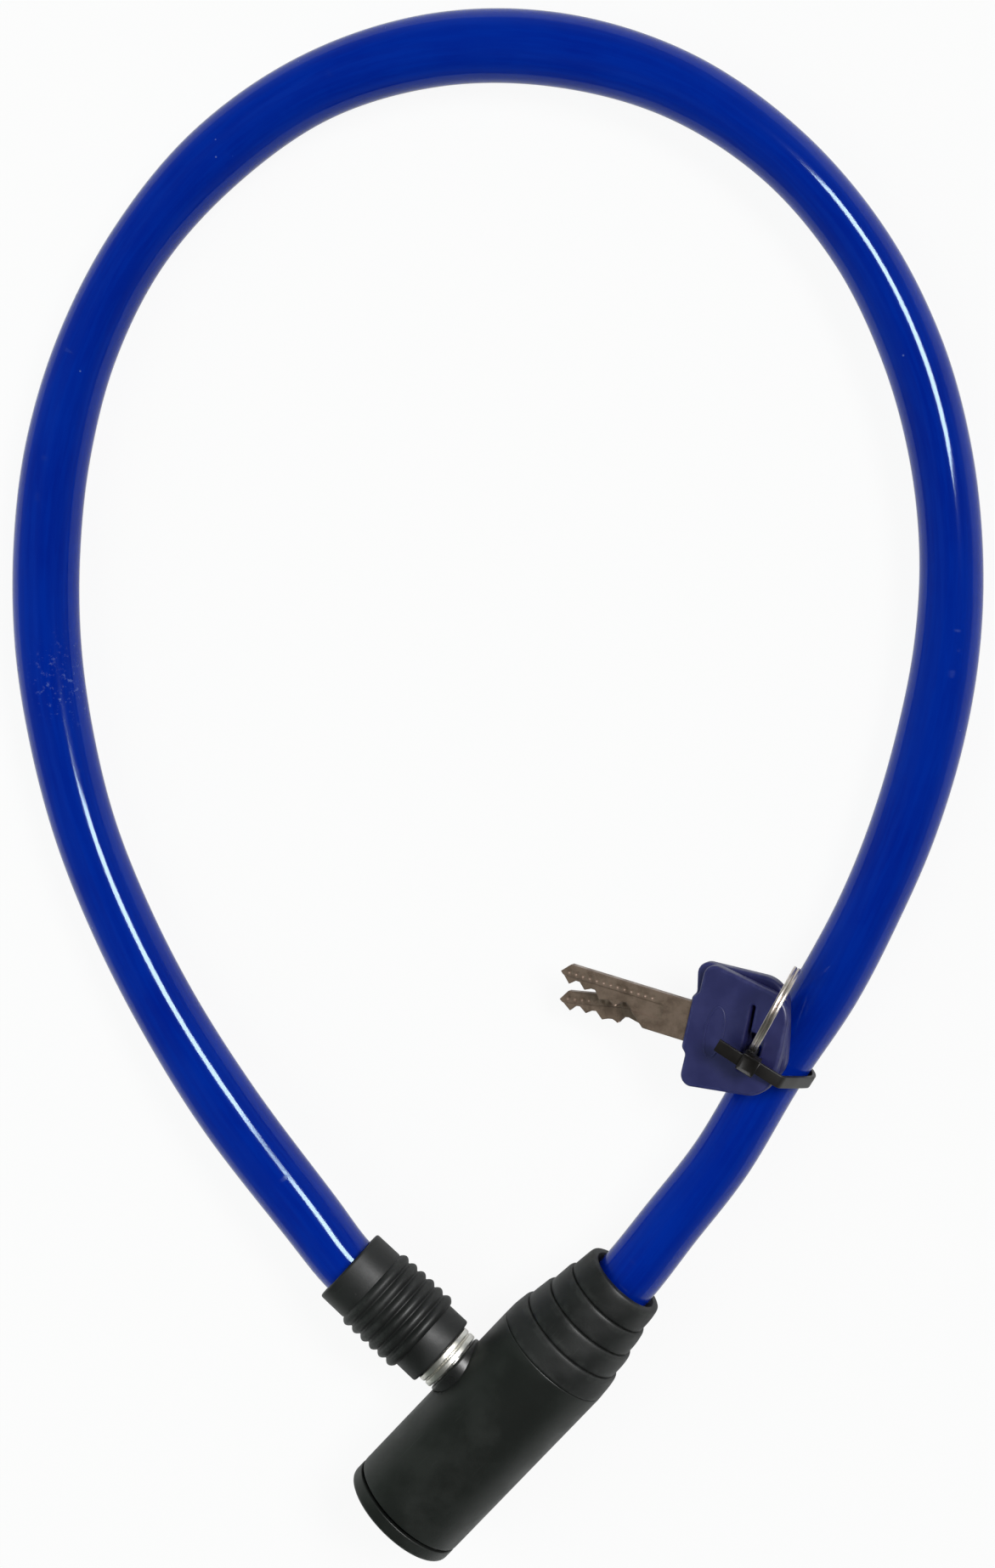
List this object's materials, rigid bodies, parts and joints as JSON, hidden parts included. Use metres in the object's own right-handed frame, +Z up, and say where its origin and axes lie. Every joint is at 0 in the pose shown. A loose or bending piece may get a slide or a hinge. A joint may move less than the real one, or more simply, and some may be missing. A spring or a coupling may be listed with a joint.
{
  "type": "cable lock",
  "caption": "Keyed bicycle cable lock: round lock head with a ribbed boot, blue sheathed cable laid in a loop, bolt with a ribbed sleeve, and keys tied to the cable.",
  "frame": {"origin": "middle of the bottom of the box round the head, bolt, tie, ring and keys, on the surface that the lock lies on", "axes": "+Z up from the surface, +Y away from the head into the cable's loop, +X to the side where the cable leaves the boot"},
  "size_m": [0.1844, 0.292, 0.0282],
  "materials": {
    "cover_black": "satin black plastic with a slight green cast",
    "soft_black": "dull soft black plastic",
    "cable_blue": "glossy deep blue vinyl",
    "bow_blue": "satin indigo plastic",
    "nickel": "bright nickel plate",
    "key_metal": "dull nickel silver",
    "zinc": "cast zinc",
    "steel": "bright steel",
    "brass": "turned brass"
  },
  "bodies": {
    "head": {"barrel_cover": "cover_black", "end_cap": "soft_black", "cable_boot": "soft_black", "port_collar": "soft_black", "lock_housing": "zinc", "cylinder_shell": "brass", "driver_pins": "brass", "pin_springs": "steel", "spring_strip": "brass", "cylinder_pin": "steel", "head_ferrule": "steel", "ferrule_pin": "steel", "cable_sheath": "cable_blue", "wire_rope": "steel"},
    "plug": {"cylinder_plug": "brass", "key_pins": "brass", "plug_cam": "zinc", "cam_screw": "steel"},
    "catch": {"locking_catch": "steel"},
    "free_end": {"bolt_pin": "nickel", "bolt_sleeve": "soft_black"},
    "tie": {"cable_tie": "soft_black"},
    "ring": {"split_ring": "nickel"},
    "key_a": {"key_a_blade": "key_metal", "key_a_bow": "bow_blue"},
    "key_b": {"key_b_blade": "key_metal", "key_b_bow": "bow_blue"}
  },
  "joints": [
    {"name": "plug_turn", "type": "hinge", "parent": "head", "child": "plug", "pos_m": [-0.0114, -0.0299, 0.012], "axis": [0.6652, 0.7466, 0], "range_deg": [0, 90]},
    {"name": "catch_lift", "type": "slide", "parent": "head", "child": "catch", "axis": [0, 0, 1], "range_m": [-0.0027, 0]},
    {"name": "bolt_pull", "type": "slide", "parent": "head", "child": "free_end", "axis": [-0.7466, 0.6652, 0], "range_m": [0, 0.022], "deforming": ["cable_sheath", "wire_rope"]},
    {"name": "tie_turn", "type": "hinge", "parent": "head", "child": "tie", "pos_m": [0.0394, 0.0371, 0.0074], "axis": [0.5075, 0.8616, 0], "range_deg": [0, 40]},
    {"name": "ring_spin", "type": "hinge", "parent": "tie", "child": "ring", "pos_m": [0.0409, 0.0515, 0.0195], "axis": [0.887, -0.4617, 0], "continuous": true},
    {"name": "key_a_swing", "type": "hinge", "parent": "tie", "child": "key_a", "pos_m": [0.0355, 0.0422, 0.0158], "axis": [-0.2017, 0.0503, 0.9781], "range_deg": [-3, 3]},
    {"name": "key_b_swing", "type": "hinge", "parent": "tie", "child": "key_b", "pos_m": [0.0355, 0.0422, 0.0158], "axis": [-0.2017, 0.0503, 0.9781], "range_deg": [-3, 3]}
  ],
  "couplings": [
    {"joint": "catch_lift", "follows": "plug_turn", "m_per_rad": -0.0017106}
  ]
}
